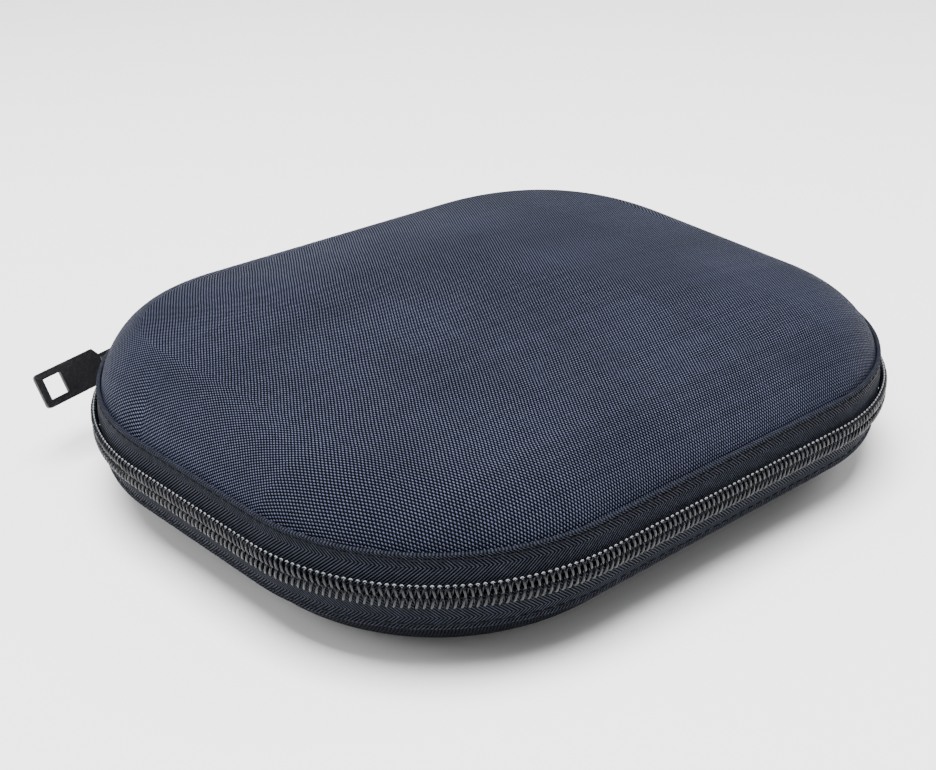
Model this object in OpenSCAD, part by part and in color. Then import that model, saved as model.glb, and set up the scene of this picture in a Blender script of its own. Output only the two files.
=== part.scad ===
// Zipped hard-shell carrying case for folded over-ear headphones.
// Two moulded shells meet at a coil zipper and turn on a cloth hinge along the back.
// X runs along the hinge, +Y points to the hinge, +Z is up. The origin is the centre of the underside.

/* [Outline] */
// Width across the back corners, the widest place
back_w = 205; // [180:1:240]
// Width across the front corners
front_w = 197; // [170:1:230]
// Depth from the front of the zipper to the hinge
case_d = 175; // [155:1:210]
// Plan radius of the two front corners
front_r = 59; // [48:1:70]
// Plan radius of the two back corners
back_r = 69; // [55:1:76]

/* [Heights] */
// Height of the lower shell, from the table to the middle of the zipper
base_h = 22; // [19:0.5:32]
// Height of the upper shell above the middle of the zipper, at the centre of its crown
lid_h = 28; // [24:0.5:38]
// How far the centre of the lid rises above its rounded edge
lid_crown = 6.6; // [1:0.1:10]
// Plan width of the lid's rounded edge
lid_round = 17; // [12:1:30]
// Plan width of the lower shell's rounded edge
base_round = 16; // [12:1:24]

/* [Shell layers] */
// Thickness of the woven outer cover
cover_t = 0.9; // [0.5:0.1:1.4]
// Thickness of the moulded foam shell
foam_t = 3; // [2:0.1:5]
// Thickness of the inner lining
lining_t = 0.5; // [0.3:0.1:1]
// Gap left between one layer and the next
layer_gap = 0.1; // [0.05:0.05:0.2]
// How far the shell walls lean inward for each millimetre they rise
wall_lean = 0.4; // [0.05:0.01:0.6]
// How much tighter the back corners get for each millimetre the walls draw in
back_draw = 0.8; // [0:0.05:0.9]
// How much tighter the front corners get for each millimetre the walls draw in
front_draw = 0.2; // [0:0.05:0.9]

/* [Zipper] */
// Height of the shell seam above and below the middle of the zipper
seam_h = 8.9; // [7.5:0.1:11]
// How far the shell wall stands in from the outermost face of the zipper coil at the seam
seam_in = 3.7; // [3.4:0.1:6]
// Half of the closed coil's width
coil_half = 2.9; // [2.5:0.1:3.2]
// Thickness of the coil, out from the tape
coil_t = 1.9; // [1.5:0.1:2.2]
// Half of the gap between the two coils, where the slider's web runs
coil_gap = 0.5; // [0.4:0.05:0.8]
// Thickness of the zipper tape
tape_t = 0.8; // [0.5:0.1:1]
// Width of the sewing thread
thread_w = 0.5; // [0.3:0.1:0.8]
// Where the zipper tapes end on the back corners, as an angle from the X axis
tape_end = 108; // [100:1:112]
// Where the coils end on the back corners
coil_end = 119; // [116:1:120]

/* [Slider and pull] */
// Where the slider is parked on the back left corner
slider_at = 124; // [124:1:135]
// Length of the slider along the zipper
slider_l = 11; // [9:0.5:13]
// Half of the slider's height across the zipper
slider_half = 4.4; // [4.1:0.1:5]
// Thickness of the slider's front plate
plate_t = 1.2; // [0.9:0.1:1.6]
// Room under the bridge for the pull's eye
bridge_gap = 3.4; // [3.2:0.1:4]
// Length of the pull from its pivot to its tip
pull_l = 27; // [18:0.5:40]
// Width of the pull
pull_w = 10; // [8:0.5:13]
// Thickness of the pull
pull_t = 1; // [0.8:0.1:1.1]
// Side of the square hole in the pull's tip
pull_hole = 6; // [4:0.5:7]
// Direction in which the pull points when it hangs at rest
pull_dir = 196; // [180:1:198]
// How far the pull is twisted about its own length
pull_twist = 27; // [10:1:28]

/* [Hinge and pocket] */
// Where the cloth hinge ends on the back corners
hinge_end = 117; // [112:1:118]
// Thickness of the hinge cloth
hinge_t = 0.9; // [0.6:0.1:1.2]
// Half of the gap at the hinge's fold line
fold_gap = 0.3; // [0.2:0.05:0.5]
// Width of the binding that covers each shell's inner edge
binding_w = 4.5; // [3:0.1:6]
// Height of the net pocket's sheet above the middle of the zipper
pocket_h = 10.5; // [10:0.1:12]
// How far the pocket's mouth lies behind the middle of the lid
pocket_mouth = 8; // [-20:1:30]

/* [Hidden] */

navy = [0.075, 0.085, 0.115];
ink = [0.035, 0.038, 0.05];
coil_black = [0.02, 0.02, 0.025];
foam_grey = [0.16, 0.16, 0.17];
lining_grey = [0.09, 0.09, 0.1];
pull_black = [0.03, 0.03, 0.03];

corner_steps = 14;           // flat facets on each corner arc
clear = 0.3;                 // running gap between pieces that move past each other
touch = 0.1;                 // gap between pieces that are sewn together

// The outline: four corner arcs joined by straight sides, wider at the back.
back_c = [back_w / 2 - back_r, case_d / 2 - back_r];
front_c = [front_w / 2 - front_r, front_r - case_d / 2];
side_v = back_c - front_c;
side_a = atan2(side_v[1], side_v[0]) - 90 + asin((front_r - back_r) / norm(side_v));

// As a wall draws in past the seam, its corner centres move out by this much for each millimetre
// and the radii shrink by the third value. The straight sides stay parallel to the zipper.
back_shift = back_draw * [(1 - sin(side_a)) / cos(side_a), 1, 1];
front_shift = front_draw * [(1 + sin(side_a)) / cos(side_a), -1, 1];

// A station is [centre x, centre y, radius, angle] and its shift; spot() is its point, inset by d.
function corner(c, r, shift, a0, a1) = [for (i = [0 : corner_steps])
    concat([c[0], c[1], r, a0 + (a1 - a0) * i / corner_steps], shift)];
function flipped(v) = [for (i = [0 : len(v) - 1]) i == 0 ? -v[i] : v[i]];
function back_left(a0, a1) = corner(flipped(back_c), back_r, flipped(back_shift), a0, a1);
function back_right(a0, a1) = corner(back_c, back_r, back_shift, a0, a1);
front_left = corner(flipped(front_c), front_r, flipped(front_shift), 180 - side_a, 270);
front_right = corner(front_c, front_r, front_shift, 270, 360 + side_a);
function drawn(d) = max(0, d - seam_in);
function spot(s, d) = let (m = drawn(d), r = s[2] - d - s[6] * m)
    [s[0] + s[4] * m + r * cos(s[3]), s[1] + s[5] * m + r * sin(s[3])];

whole = concat(back_left(90, 180 - side_a), front_left, front_right, back_right(side_a, 90));
function round_front(a) =
    concat(back_left(a, 180 - side_a), front_left, front_right, back_right(side_a, 180 - a));
function round_back(a) = concat(back_right(180 - a, 90), back_left(90, a));

// The wall of a shell: layer k lies k inside the outer face, and t runs from seam to edge.
lid_turn = 77;               // where the rounded edge meets the crown, in degrees of its ellipse
lid_rise = (lid_h - lid_crown - seam_h) / sin(lid_turn);
base_rise = base_h - seam_h;
function wall_z(rise, k, t) = seam_h + (rise - k) * sin(t);
function wall_in(rise, run, k, t) =
    seam_in + k + (run - k) * (1 - cos(t)) + wall_lean * (rise - k) * sin(t);
// The inset of layer k at height z above the middle of the zipper
function inset_at(rise, run, k, z) = wall_in(rise, run, k, asin((z - seam_h) / (rise - k)));

foam_k = cover_t + layer_gap;
lining_k = foam_k + foam_t + layer_gap;
inside_k = lining_k + lining_t;

wall_steps = 5;
crown_rings = [0.8, 0.55, 0.28];

// One face of a shell, as rings from the seam up to the edge of the crown, and then its pole.
// turn is how far the rounded edge goes round its ellipse before the crown takes over.
function face_rings(rise, run, k, turn, crown) = concat(
    [for (i = [0 : wall_steps]) let (t = turn * i / wall_steps)
        [for (s = whole) concat(spot(s, wall_in(rise, run, k, t)), wall_z(rise, k, t))]],
    [for (u = crown > 0 ? crown_rings : []) let (edge = wall_in(rise, run, k, turn))
        [for (s = whole) concat(u * spot(s, edge), wall_z(rise, k, turn) + crown * (1 - u * u))]]);
function pole(rise, k, turn, crown) = [0, 0, wall_z(rise, k, turn) + crown];

// A closed bowl, opening downward, between layers k0 and k1.
module bowl(rise, run, k0, k1, turn, crown) {
    outer = face_rings(rise, run, k0, turn, crown);
    inner = face_rings(rise, run, k1, turn, crown);
    n = len(whole);
    m = len(outer);
    function id(face, ring, i) = (face * m + ring) * n + i % n;
    function band(face, ring, i) =
        [id(face, ring, i), id(face, ring, i + 1), id(face, ring + 1, i + 1), id(face, ring + 1, i)];
    function fan(face, i) = [id(face, m - 1, i), id(face, m - 1, i + 1), 2 * m * n + face];
    function turned(f) = [for (j = [len(f) - 1 : -1 : 0]) f[j]];
    points = concat([for (r = outer) each r], [for (r = inner) each r],
        [pole(rise, k0, turn, crown), pole(rise, k1, turn, crown)]);
    outside = concat([for (ring = [0 : m - 2]) for (i = [0 : n - 1]) band(0, ring, i)],
        [for (i = [0 : n - 1]) fan(0, i)]);
    inside = concat([for (ring = [0 : m - 2]) for (i = [0 : n - 1]) band(1, ring, i)],
        [for (i = [0 : n - 1]) fan(1, i)]);
    rim = [for (i = [0 : n - 1]) [id(1, 0, i), id(1, 0, i + 1), id(0, 0, i + 1), id(0, 0, i)]];
    polyhedron(points, concat([for (f = outside) turned(f)], inside, [for (f = rim) turned(f)]),
        convexity = 6);
}

// A strip: the profile, a list of [inset, z] points, carried along the stations. An open strip's
// profile goes up one side and down the other, and each end is closed by quads between the sides.
module strip(profile, stations, closed = false) {
    n = len(profile);
    m = len(stations);
    last = closed ? m - 1 : m - 2;
    points = [for (s = stations) for (p = profile) concat(spot(s, p[0]), p[1])];
    sides = [for (i = [0 : last]) for (j = [0 : n - 1])
        [((i + 1) % m) * n + j, ((i + 1) % m) * n + (j + 1) % n, i * n + (j + 1) % n, i * n + j]];
    far = (m - 1) * n;
    ends = closed ? [] : [for (j = [0 : n / 2 - 2]) each
        [[j, j + 1, n - 2 - j, n - 1 - j], [far + n - 1 - j, far + n - 2 - j, far + j + 1, far + j]]];
    polyhedron(points, concat(sides, ends), convexity = 6);
}

// A folded band of thickness t: the outer points run upward and the inner ones come back.
function folded(outer, t) =
    concat(outer, [for (i = [len(outer) - 1 : -1 : 0]) [outer[i][0] + t, outer[i][1]]]);

// Profiles of the upper half; the lower half mirrors them.
tape_in = coil_t + touch;
tape_over = 0.6;             // how far the tape laps over the shell's seam
tape_top = seam_h + tape_over;
tape_lean = seam_in - touch - tape_t - tape_in;
tape_profile = folded([[tape_in, coil_gap + touch], [tape_in, coil_half + touch],
    [tape_in + tape_lean, tape_top]], tape_t);
function tape_at(z) = tape_in + tape_lean * (z - coil_half - touch) / (tape_top - coil_half - touch);
thread_drop = 1.2;           // from the tape's edge down to its seam
thread_z = tape_top - thread_drop;
thread_profile = folded([[tape_at(thread_z) - thread_w, thread_z],
    [tape_at(thread_z) - thread_w, thread_z + thread_w]], thread_w - touch / 2);

// The binding wraps under the shell's edge and stands against the lining.
binding_t = 0.8;
binding_foot = seam_h - touch;
binding_top = seam_h + binding_w;
function binding_low(rise, run) = wall_in(rise, run, inside_k + touch, 0);
function binding_high(rise, run) = inset_at(rise, run, inside_k + touch, binding_top);
function binding_profile(rise, run) =
    [[seam_in, binding_foot - binding_t], [seam_in, binding_foot],
     [binding_low(rise, run), binding_foot], [binding_high(rise, run), binding_top],
     [binding_high(rise, run) + binding_t, binding_top],
     [binding_low(rise, run) + binding_t, binding_foot - binding_t]];
// The inset of the binding's inner face at height z
function binding_at(rise, run, z) = binding_low(rise, run) + binding_t
    + (binding_high(rise, run) - binding_low(rise, run))
    * (z - binding_foot + binding_t) / (binding_top - binding_foot + binding_t);

hinge_in = -0.2;             // the hinge cloth stands just proud of the coil
hinge_over = 1;              // how far the hinge cloth reaches past the tape
hinge_top = tape_top + hinge_over;
hinge_lean = 0.9;
hinge_profile = folded([[hinge_in, fold_gap], [hinge_in, coil_half],
    [hinge_in + hinge_lean, hinge_top]], hinge_t);
hinge_lining_in = tape_in + tape_t + touch;
hinge_lining_top = binding_foot - binding_t - touch;
hinge_lining_profile = folded([[hinge_lining_in, fold_gap], [hinge_lining_in, coil_half],
    [hinge_lining_in + tape_lean, hinge_lining_top]], lining_t);

module lift() { translate([0, 0, base_h]) children(); }
module lower_half() { lift() mirror([0, 0, 1]) children(); }

// A flat plan of the zipper, inset by d, with true arcs at its corners.
module plan(d) {
    ends = [0, corner_steps];
    polygon([for (c = [0 : 3]) for (e = ends) spot(whole[c * (corner_steps + 1) + e], d)]);
    for (x = [-1, 1]) {
        translate([x * back_c[0], back_c[1]]) circle(back_r - d, $fn = 180);
        translate([x * front_c[0], front_c[1]]) circle(front_r - d, $fn = 180);
    }
}

// The part of the back that lies beyond angle a on both back corners.
module back_wedge(a) {
    reach = 1.5 * back_r;
    far = [back_c[0] - reach * cos(a), back_c[1] + reach * sin(a)];
    polygon([[-back_c[0], back_c[1]], [-far[0], far[1]], far, back_c]);
}

// The slice of the back left corner between two angles.
module corner_slice(a0, a1) {
    reach = 1.5 * back_r;
    translate([-back_c[0], back_c[1]])
        polygon([[0, 0], reach * [cos(a0), sin(a0)], reach * [cos(a1), sin(a1)]]);
}

// A flat ring from inset d0 to inset d1 that stops at the coil's ends.
module zip_ring(d0, d1, z0, z1) {
    translate([0, 0, z0]) linear_extrude(z1 - z0) difference() {
        plan(d0);
        plan(d1);
        back_wedge(coil_end);
    }
}

// The lid's half of the zipper stops at the parked slider, so that the lid can lift away.
park_half = asin((slider_l / 2) / back_r) + 2;
park_top = slider_half + 2 * clear;
module clear_of_slider() {
    difference() {
        children();
        translate([0, 0, -1]) linear_extrude(park_top + 1)
            corner_slice(slider_at - park_half, slider_at + park_half);
    }
}

module coil() { zip_ring(0, coil_t, coil_gap, coil_half); }
coil_thread_out = 0.2;       // how far the coil's thread stands out of the coil
coil_thread_drop = 1;        // from the coil's edge down to its thread
module coil_thread() {
    z = coil_half - coil_thread_drop;
    zip_ring(-coil_thread_out, -touch / 5, z, z + thread_w);
}
module tape() { strip(tape_profile, round_front(tape_end)); }
module seam_thread() { strip(thread_profile, round_front(hinge_end)); }
module hinge_cloth() { strip(hinge_profile, round_back(hinge_end)); }
module hinge_lining() { strip(hinge_lining_profile, round_back(hinge_end)); }

// Lower shell
module lower_cover() {
    color(navy) lower_half() bowl(base_rise, base_round, 0, cover_t, 90, 0);
}
module lower_foam_shell() {
    color(foam_grey) lower_half() bowl(base_rise, base_round, foam_k, foam_k + foam_t, 90, 0);
}
module lower_lining() {
    color(lining_grey) lower_half() bowl(base_rise, base_round, lining_k, inside_k, 90, 0);
}
module lower_binding() {
    color(ink) lower_half() strip(binding_profile(base_rise, base_round), whole, true);
}
module lower_zipper_tape() { color(ink) lower_half() tape(); }
module lower_zipper_coil() { color(coil_black) lower_half() coil(); }
module lower_coil_thread() { color(ink) lower_half() coil_thread(); }
module lower_seam_thread() { color(navy) lower_half() seam_thread(); }

// Lid
module upper_cover() {
    color(navy) lift() bowl(lid_rise, lid_round, 0, cover_t, lid_turn, lid_crown);
}
module upper_foam_shell() {
    color(foam_grey) lift() bowl(lid_rise, lid_round, foam_k, foam_k + foam_t, lid_turn, lid_crown);
}
module upper_lining() {
    color(lining_grey) lift() bowl(lid_rise, lid_round, lining_k, inside_k, lid_turn, lid_crown);
}
module upper_binding() {
    color(ink) lift() strip(binding_profile(lid_rise, lid_round), whole, true);
}
module upper_zipper_tape() { color(ink) lift() clear_of_slider() tape(); }
module upper_zipper_coil() { color(coil_black) lift() clear_of_slider() coil(); }
module upper_coil_thread() { color(ink) lift() clear_of_slider() coil_thread(); }
module upper_seam_thread() { color(navy) lift() seam_thread(); }

// Cloth hinge: one strip outside and one inside, each parted along the fold
module hinge_cloth_lower() { color(navy) lower_half() hinge_cloth(); }
module hinge_cloth_upper() { color(navy) lift() hinge_cloth(); }
module hinge_lining_lower() { color(lining_grey) lower_half() hinge_lining(); }
module hinge_lining_upper() { color(lining_grey) lift() hinge_lining(); }

// Slider, in its own frame: x along the zipper towards the hinge, y out of the case
module at_slider() {
    lift() translate([-back_c[0], back_c[1], 0]) rotate(slider_at - 90) translate([0, back_r, 0])
        children();
}
module block(x0, x1, y0, y1, z0, z1) {
    translate([x0, y0, z0]) cube([x1 - x0, y1 - y0, z1 - z0]);
}
front_y = clear;
plate_y = front_y + plate_t;
behind_tape = 0.75;          // room between the tape and the slider's back plate
back_y = -(tape_in + tape_t + behind_tape);
back_plate_t = 1;
flange_y = -(coil_t - clear);
web_end = 1;                 // how far the web stops short of the slider's end
corner_cut = 1.2;
pawl_hole = 1.2;
module slider_body() {
    half = slider_l / 2;
    web_half = coil_gap - clear;
    color(pull_black) at_slider() difference() {
        union() {
            block(-half, half, front_y, plate_y, -slider_half, slider_half);
            block(-half, half, back_y - back_plate_t, back_y, -slider_half, slider_half);
            block(web_end, half - web_end, back_y, front_y, -web_half, web_half);
            for (s = [0, 1]) mirror([0, 0, s])
                block(-half, half, flange_y, front_y, coil_half + clear, slider_half);
        }
        for (z = [-1, 1]) for (x = [-1, 1])
            translate([x * half, plate_y, z * slider_half]) rotate([90, 0, 0])
                cylinder(h = 12, r = corner_cut, center = true, $fn = 4);
        translate([pawl_x, plate_y, 0]) cube([pawl_hole, 3 * plate_t, pawl_hole], center = true);
    }
}

bridge_half = 3.1;           // half of the bridge's length along the slider
bridge_bar = 1.3;            // thickness of the bridge's bar
bridge_leg = 1;              // thickness of each leg
bridge_half_w = 0.75;        // half of the bridge's width
bridge_y = plate_y + bridge_gap;
spring_t = 0.3;
spring_half_w = 0.35;
spring_slot = spring_half_w + touch;
pawl_x = bridge_half - bridge_leg / 2;
pawl_slot = spring_t + touch;
module slider_bridge() {
    color(pull_black) at_slider() difference() {
        block(-bridge_half, bridge_half, plate_y, bridge_y + bridge_bar, -bridge_half_w, bridge_half_w);
        block(-bridge_half + bridge_leg, bridge_half - bridge_leg, plate_y - 1, bridge_y,
            -bridge_half_w - 1, bridge_half_w + 1);
        block(-bridge_half + bridge_leg, pawl_x + pawl_slot, bridge_y - 1,
            bridge_y + spring_t + touch, -spring_slot, spring_slot);
        block(pawl_x - pawl_slot, pawl_x + pawl_slot, plate_y - 1, bridge_y + touch,
            -spring_slot, spring_slot);
    }
}
module slider_lock_spring() {
    color("silver") at_slider() {
        block(-bridge_half + bridge_leg + touch, pawl_x + spring_t, bridge_y, bridge_y + spring_t,
            -spring_half_w, spring_half_w);
        block(pawl_x - spring_t, pawl_x + spring_t, front_y + touch, bridge_y,
            -spring_half_w, spring_half_w);
    }
}

// Pull: a flat tab whose eye goes round the bridge
pivot_y = plate_y + bridge_gap / 2;
eye_bar = 1.2;
eye_half = 2.8;
eye_hole_half = 1.7;
eye_l = 4.4;
neck_l = 1.5;                // how quickly the pull widens past its eye
neck_lap = 2;                // how far the pull's body laps into its neck
tip_margin = 2.2;
corner_r = 1.2;
pivot = [-back_c[0] + (back_r + pivot_y) * cos(slider_at),
    back_c[1] + (back_r + pivot_y) * sin(slider_at)];
module round_rect(x0, x1, half, r) {
    for (x = [x0 + r, x1 - r]) for (y = [r - half, half - r]) translate([x, y]) circle(r, $fn = 32);
    translate([x0 + r, -half]) square([x1 - x0 - 2 * r, 2 * half]);
    translate([x0, r - half]) square([x1 - x0, 2 * (half - r)]);
}
module pull_tab() {
    hole_x = pull_l - tip_margin - pull_hole;
    neck = eye_bar / 2 + eye_l;
    body = neck + neck_l + neck_lap;
    color(pull_black) lift() translate([pivot[0], pivot[1], 0]) rotate(pull_dir)
        rotate([90 + pull_twist, 0, 0]) linear_extrude(pull_t, center = true) difference() {
            union() {
                round_rect(-eye_bar / 2, neck + neck_lap, eye_half, corner_r);
                polygon([[neck, -eye_half], [neck + neck_l, -pull_w / 2], [body, -pull_w / 2],
                    [body, pull_w / 2], [neck + neck_l, pull_w / 2], [neck, eye_half]]);
                round_rect(neck + neck_l, pull_l, pull_w / 2, corner_r);
            }
            translate([eye_bar / 2, -eye_hole_half]) square([eye_l, 2 * eye_hole_half]);
            translate([hole_x, -pull_hole / 2]) square(pull_hole);
        }
}

// Net pocket, sewn round the front of the lid
pocket_t = 0.6;
trim_lip = 0.2;              // how far the trim stands above and below the net
trim_t = 1;
elastic_lip = 0.4;
elastic_d = 3;
pocket_in = binding_at(lid_rise, lid_round, pocket_h + pocket_t + elastic_lip) + touch;
module inner_plan(d) { polygon([for (s = whole) spot(s, d)]); }
module pocket_plan(d) {
    intersection() {
        inner_plan(d);
        translate([-back_w, -case_d]) square([2 * back_w, case_d + pocket_mouth]);
    }
}
module net_pocket() {
    color(ink) lift() translate([0, 0, pocket_h]) linear_extrude(pocket_t)
        pocket_plan(pocket_in + trim_t + touch);
}
module pocket_trim() {
    color(ink) lift() translate([0, 0, pocket_h - trim_lip])
        linear_extrude(pocket_t + 2 * trim_lip) difference() {
            pocket_plan(pocket_in);
            inner_plan(pocket_in + trim_t);
        }
}
module pocket_elastic() {
    color(coil_black) lift() translate([0, 0, pocket_h - elastic_lip])
        linear_extrude(pocket_t + 2 * elastic_lip) intersection() {
            inner_plan(pocket_in);
            translate([-back_w, pocket_mouth + touch]) square([2 * back_w, elastic_d]);
        }
}

lower_cover();
lower_foam_shell();
lower_lining();
lower_binding();
lower_zipper_tape();
lower_zipper_coil();
lower_coil_thread();
lower_seam_thread();
upper_cover();
upper_foam_shell();
upper_lining();
upper_binding();
upper_zipper_tape();
upper_zipper_coil();
upper_coil_thread();
upper_seam_thread();
hinge_cloth_lower();
hinge_cloth_upper();
hinge_lining_lower();
hinge_lining_upper();
slider_body();
slider_bridge();
slider_lock_spring();
pull_tab();
net_pocket();
pocket_elastic();
pocket_trim();
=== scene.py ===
"""Zipped headphone carrying case: the looks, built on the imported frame."""

import bpy
import math
from mathutils import Matrix, Vector


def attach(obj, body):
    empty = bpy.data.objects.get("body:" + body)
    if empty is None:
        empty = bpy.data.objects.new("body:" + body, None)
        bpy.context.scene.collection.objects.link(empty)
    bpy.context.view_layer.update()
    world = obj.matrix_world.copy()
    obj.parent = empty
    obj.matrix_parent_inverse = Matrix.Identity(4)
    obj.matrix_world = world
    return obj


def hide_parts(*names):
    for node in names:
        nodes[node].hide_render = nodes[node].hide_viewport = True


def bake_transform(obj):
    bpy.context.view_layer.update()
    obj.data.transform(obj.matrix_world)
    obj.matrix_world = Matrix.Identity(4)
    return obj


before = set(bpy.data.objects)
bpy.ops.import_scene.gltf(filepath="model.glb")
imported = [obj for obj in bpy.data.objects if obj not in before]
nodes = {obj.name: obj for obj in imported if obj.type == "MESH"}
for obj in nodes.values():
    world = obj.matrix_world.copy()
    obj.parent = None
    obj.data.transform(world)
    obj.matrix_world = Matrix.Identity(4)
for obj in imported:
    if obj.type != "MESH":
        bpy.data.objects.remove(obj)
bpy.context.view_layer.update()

# ---------------------------------------------------------------- sizes, in millimetres
MID = 22.0  # height of the zipper's middle
BACK_C, BACK_R = (33.5, 18.5), 69.0
FRONT_C, FRONT_R = (39.5, -28.5), 59.0
SIDE_A = math.degrees(
    math.atan2(BACK_C[1] - FRONT_C[1], BACK_C[0] - FRONT_C[0])
) - 90 + math.degrees(
    math.asin((FRONT_R - BACK_R) / math.hypot(BACK_C[0] - FRONT_C[0], BACK_C[1] - FRONT_C[1]))
)
SEAM_H, SEAM_IN, LEAN = 8.9, 3.7, 0.4
BACK_DRAW, FRONT_DRAW = 0.8, 0.2
NX, NY = math.cos(math.radians(SIDE_A)), math.sin(math.radians(SIDE_A))
BACK_LEFT = (-BACK_C[0], BACK_C[1], BACK_R, -BACK_DRAW * (1 - NY) / NX, BACK_DRAW, BACK_DRAW)
BACK_RIGHT = (BACK_C[0], BACK_C[1], BACK_R, BACK_DRAW * (1 - NY) / NX, BACK_DRAW, BACK_DRAW)
FRONT_LEFT = (
    -FRONT_C[0], FRONT_C[1], FRONT_R, -FRONT_DRAW * (1 + NY) / NX, -FRONT_DRAW, FRONT_DRAW
)
FRONT_RIGHT = (
    FRONT_C[0], FRONT_C[1], FRONT_R, FRONT_DRAW * (1 + NY) / NX, -FRONT_DRAW, FRONT_DRAW
)
LID_TURN, LID_CROWN, LID_RUN = 77.0, 6.6, 17.0
LID_RISE = (28 - LID_CROWN - SEAM_H) / math.sin(math.radians(LID_TURN))
BASE_RISE, BASE_RUN = MID - SEAM_H, 16.0
COVER_T, LINING_K, INSIDE_K = 0.9, 4.1, 4.6
BINDING_FOOT, BINDING_TOP, BINDING_T = SEAM_H - 0.1, SEAM_H + 4.5, 0.8
TAPE_IN = 2.0
PITCH = 1.6  # from one turn of the coil to the next
TAPE_END, COIL_END, HINGE_END = 108.0, 119.0, 117.0  # angles on the back left corner
PARK = (117.4, 130.6)  # the lid's zipper is cut away behind the parked slider
PARK_TOP = 5.0
RUN_END = 183.0  # up to here the slider's web passes between the two coils
COIL_IN, COIL_DEPTH, WIRE_R = 0.98, 0.60, 0.36
COIL_TOP, COIL_LOW, WEB_ROOM = 2.55, -0.01, 0.69
FIRST_BEND = 0.6
ARC_STEP, STRAIGHT_STEP = 2.0, 4.0  # degrees and millimetres between stations
WALL_ROWS, CROWN_ROWS = 16, 14


# ---------------------------------------------------------------- outline
def arc(corner, a0, a1):
    """Stations round a corner: centre x, centre y, radius, angle, and the corner's shift."""
    n = max(1, round(abs(a1 - a0) / ARC_STEP))
    x, y, r, *shift = corner
    return [(x, y, r, a0 + (a1 - a0) * i / n, *shift) for i in range(n + 1)]


def straight(s, t):
    """Stations between two others that share an angle."""
    n = max(1, round(math.hypot(t[0] - s[0], t[1] - s[1]) / STRAIGHT_STEP))
    return [
        tuple(s[3] if k == 3 else s[k] + (t[k] - s[k]) * i / n for k in range(7))
        for i in range(1, n)
    ]


def spot(s, d):
    """The point on a station, inset by d. Past the seam the corners get tighter."""
    a, m = math.radians(s[3]), max(0.0, d - SEAM_IN)
    r = s[2] - d - s[6] * m
    return s[0] + s[4] * m + r * math.cos(a), s[1] + s[5] * m + r * math.sin(a)


def normal(s):
    """The outline's outward direction at a station."""
    a = math.radians(s[3])
    return math.cos(a), math.sin(a)


def joined(parts, closed=False):
    """Arcs and the straight stretches between them."""
    out = []
    for i, part in enumerate(parts):
        if i:
            out += straight(out[-1], part[0])
        out += part
    if closed:
        out += straight(out[-1], parts[0][0])
    return out


def round_front(a, b=None):
    """Stations from angle a on the back left corner, round the front, to the back right."""
    b = 540 - a if b is None else b
    return joined(
        [
            arc(BACK_LEFT, a, 180 - SIDE_A),
            arc(FRONT_LEFT, 180 - SIDE_A, 270),
            arc(FRONT_RIGHT, 270, 360 + SIDE_A),
            arc(BACK_RIGHT, 360 + SIDE_A, b),
        ]
    )


def round_back(a):
    return joined([arc(BACK_RIGHT, 180 - a, 90), arc(BACK_LEFT, 90, a)])


def whole():
    return joined(
        [
            arc(BACK_LEFT, 90, 180 - SIDE_A),
            arc(FRONT_LEFT, 180 - SIDE_A, 270),
            arc(FRONT_RIGHT, 270, 360 + SIDE_A),
            arc(BACK_RIGHT, 360 + SIDE_A, 450),
        ],
        closed=True,
    )


class Path:
    """The outline by its length, so that stitches and coils are evenly spaced along it."""

    def __init__(self, stations):
        self.stations = stations
        self.at = [0.0]
        for s, t in zip(stations, stations[1:]):
            p, q = spot(s, 0), spot(t, 0)
            self.at.append(self.at[-1] + math.hypot(q[0] - p[0], q[1] - p[1]))
        self.length = self.at[-1]
        self.i = 0

    def station(self, s):
        if s < self.at[self.i]:
            self.i = 0
        while self.i < len(self.at) - 2 and self.at[self.i + 1] < s:
            self.i += 1
        a, b = self.at[self.i], self.at[self.i + 1]
        w = (s - a) / max(b - a, 1e-9)
        p, q = self.stations[self.i], self.stations[self.i + 1]
        return tuple(p[k] + (q[k] - p[k]) * w for k in range(7))


# ---------------------------------------------------------------- meshes
def make(name, verts, faces, uvs=None, material=None, sharp=None):
    """A mesh object from millimetres. uvs gives each face's corners, in metres of cloth."""
    mesh = bpy.data.meshes.new(name)
    mesh.from_pydata([(x / 1000, y / 1000, z / 1000) for x, y, z in verts], [], faces)
    if uvs is not None:
        layer = mesh.uv_layers.new(name="cloth")
        flat = [c for face in uvs for uv in face for c in (uv[0] / 1000, uv[1] / 1000)]
        layer.data.foreach_set("uv", flat)
    mesh.polygons.foreach_set("use_smooth", [True] * len(mesh.polygons))
    mesh.validate()
    mesh.update()
    if sharp:
        mesh.set_sharp_from_angle(angle=math.radians(sharp))
    o = bpy.data.objects.new(name, mesh)
    bpy.context.scene.collection.objects.link(o)
    if material:
        mesh.materials.append(material)
    return o


class Grid:
    """Gathers quads of several rows into one mesh."""

    def __init__(self):
        self.verts, self.faces, self.uvs = [], [], []

    def rows(self, rows, uvs, closed_row=False, closed_rows=False, flip=False):
        """rows are equal lists of points; uvs match them, with one more where a row closes."""
        base, m, n = len(self.verts), len(rows), len(rows[0])
        for row in rows:
            self.verts += row
        for i in range(m if closed_rows else m - 1):
            k = (i + 1) % m
            for j in range(n if closed_row else n - 1):
                l = (j + 1) % n
                quad = [(i, j, i, j), (i, l, i, j + 1), (k, l, i + 1, j + 1), (k, j, i + 1, j)]
                if flip:
                    quad.reverse()
                self.faces.append([base + a * n + b for a, b, _, _ in quad])
                self.uvs.append([uvs[c][d] for _, _, c, d in quad])
        return base

    def cap(self, ids, uv, flip=False):
        ids = list(reversed(ids)) if flip else list(ids)
        self.faces.append(ids)
        self.uvs.append([uv] * len(ids))

    def finish(self, name, material, sharp=None):
        return make(name, self.verts, self.faces, self.uvs, material, sharp)


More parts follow.
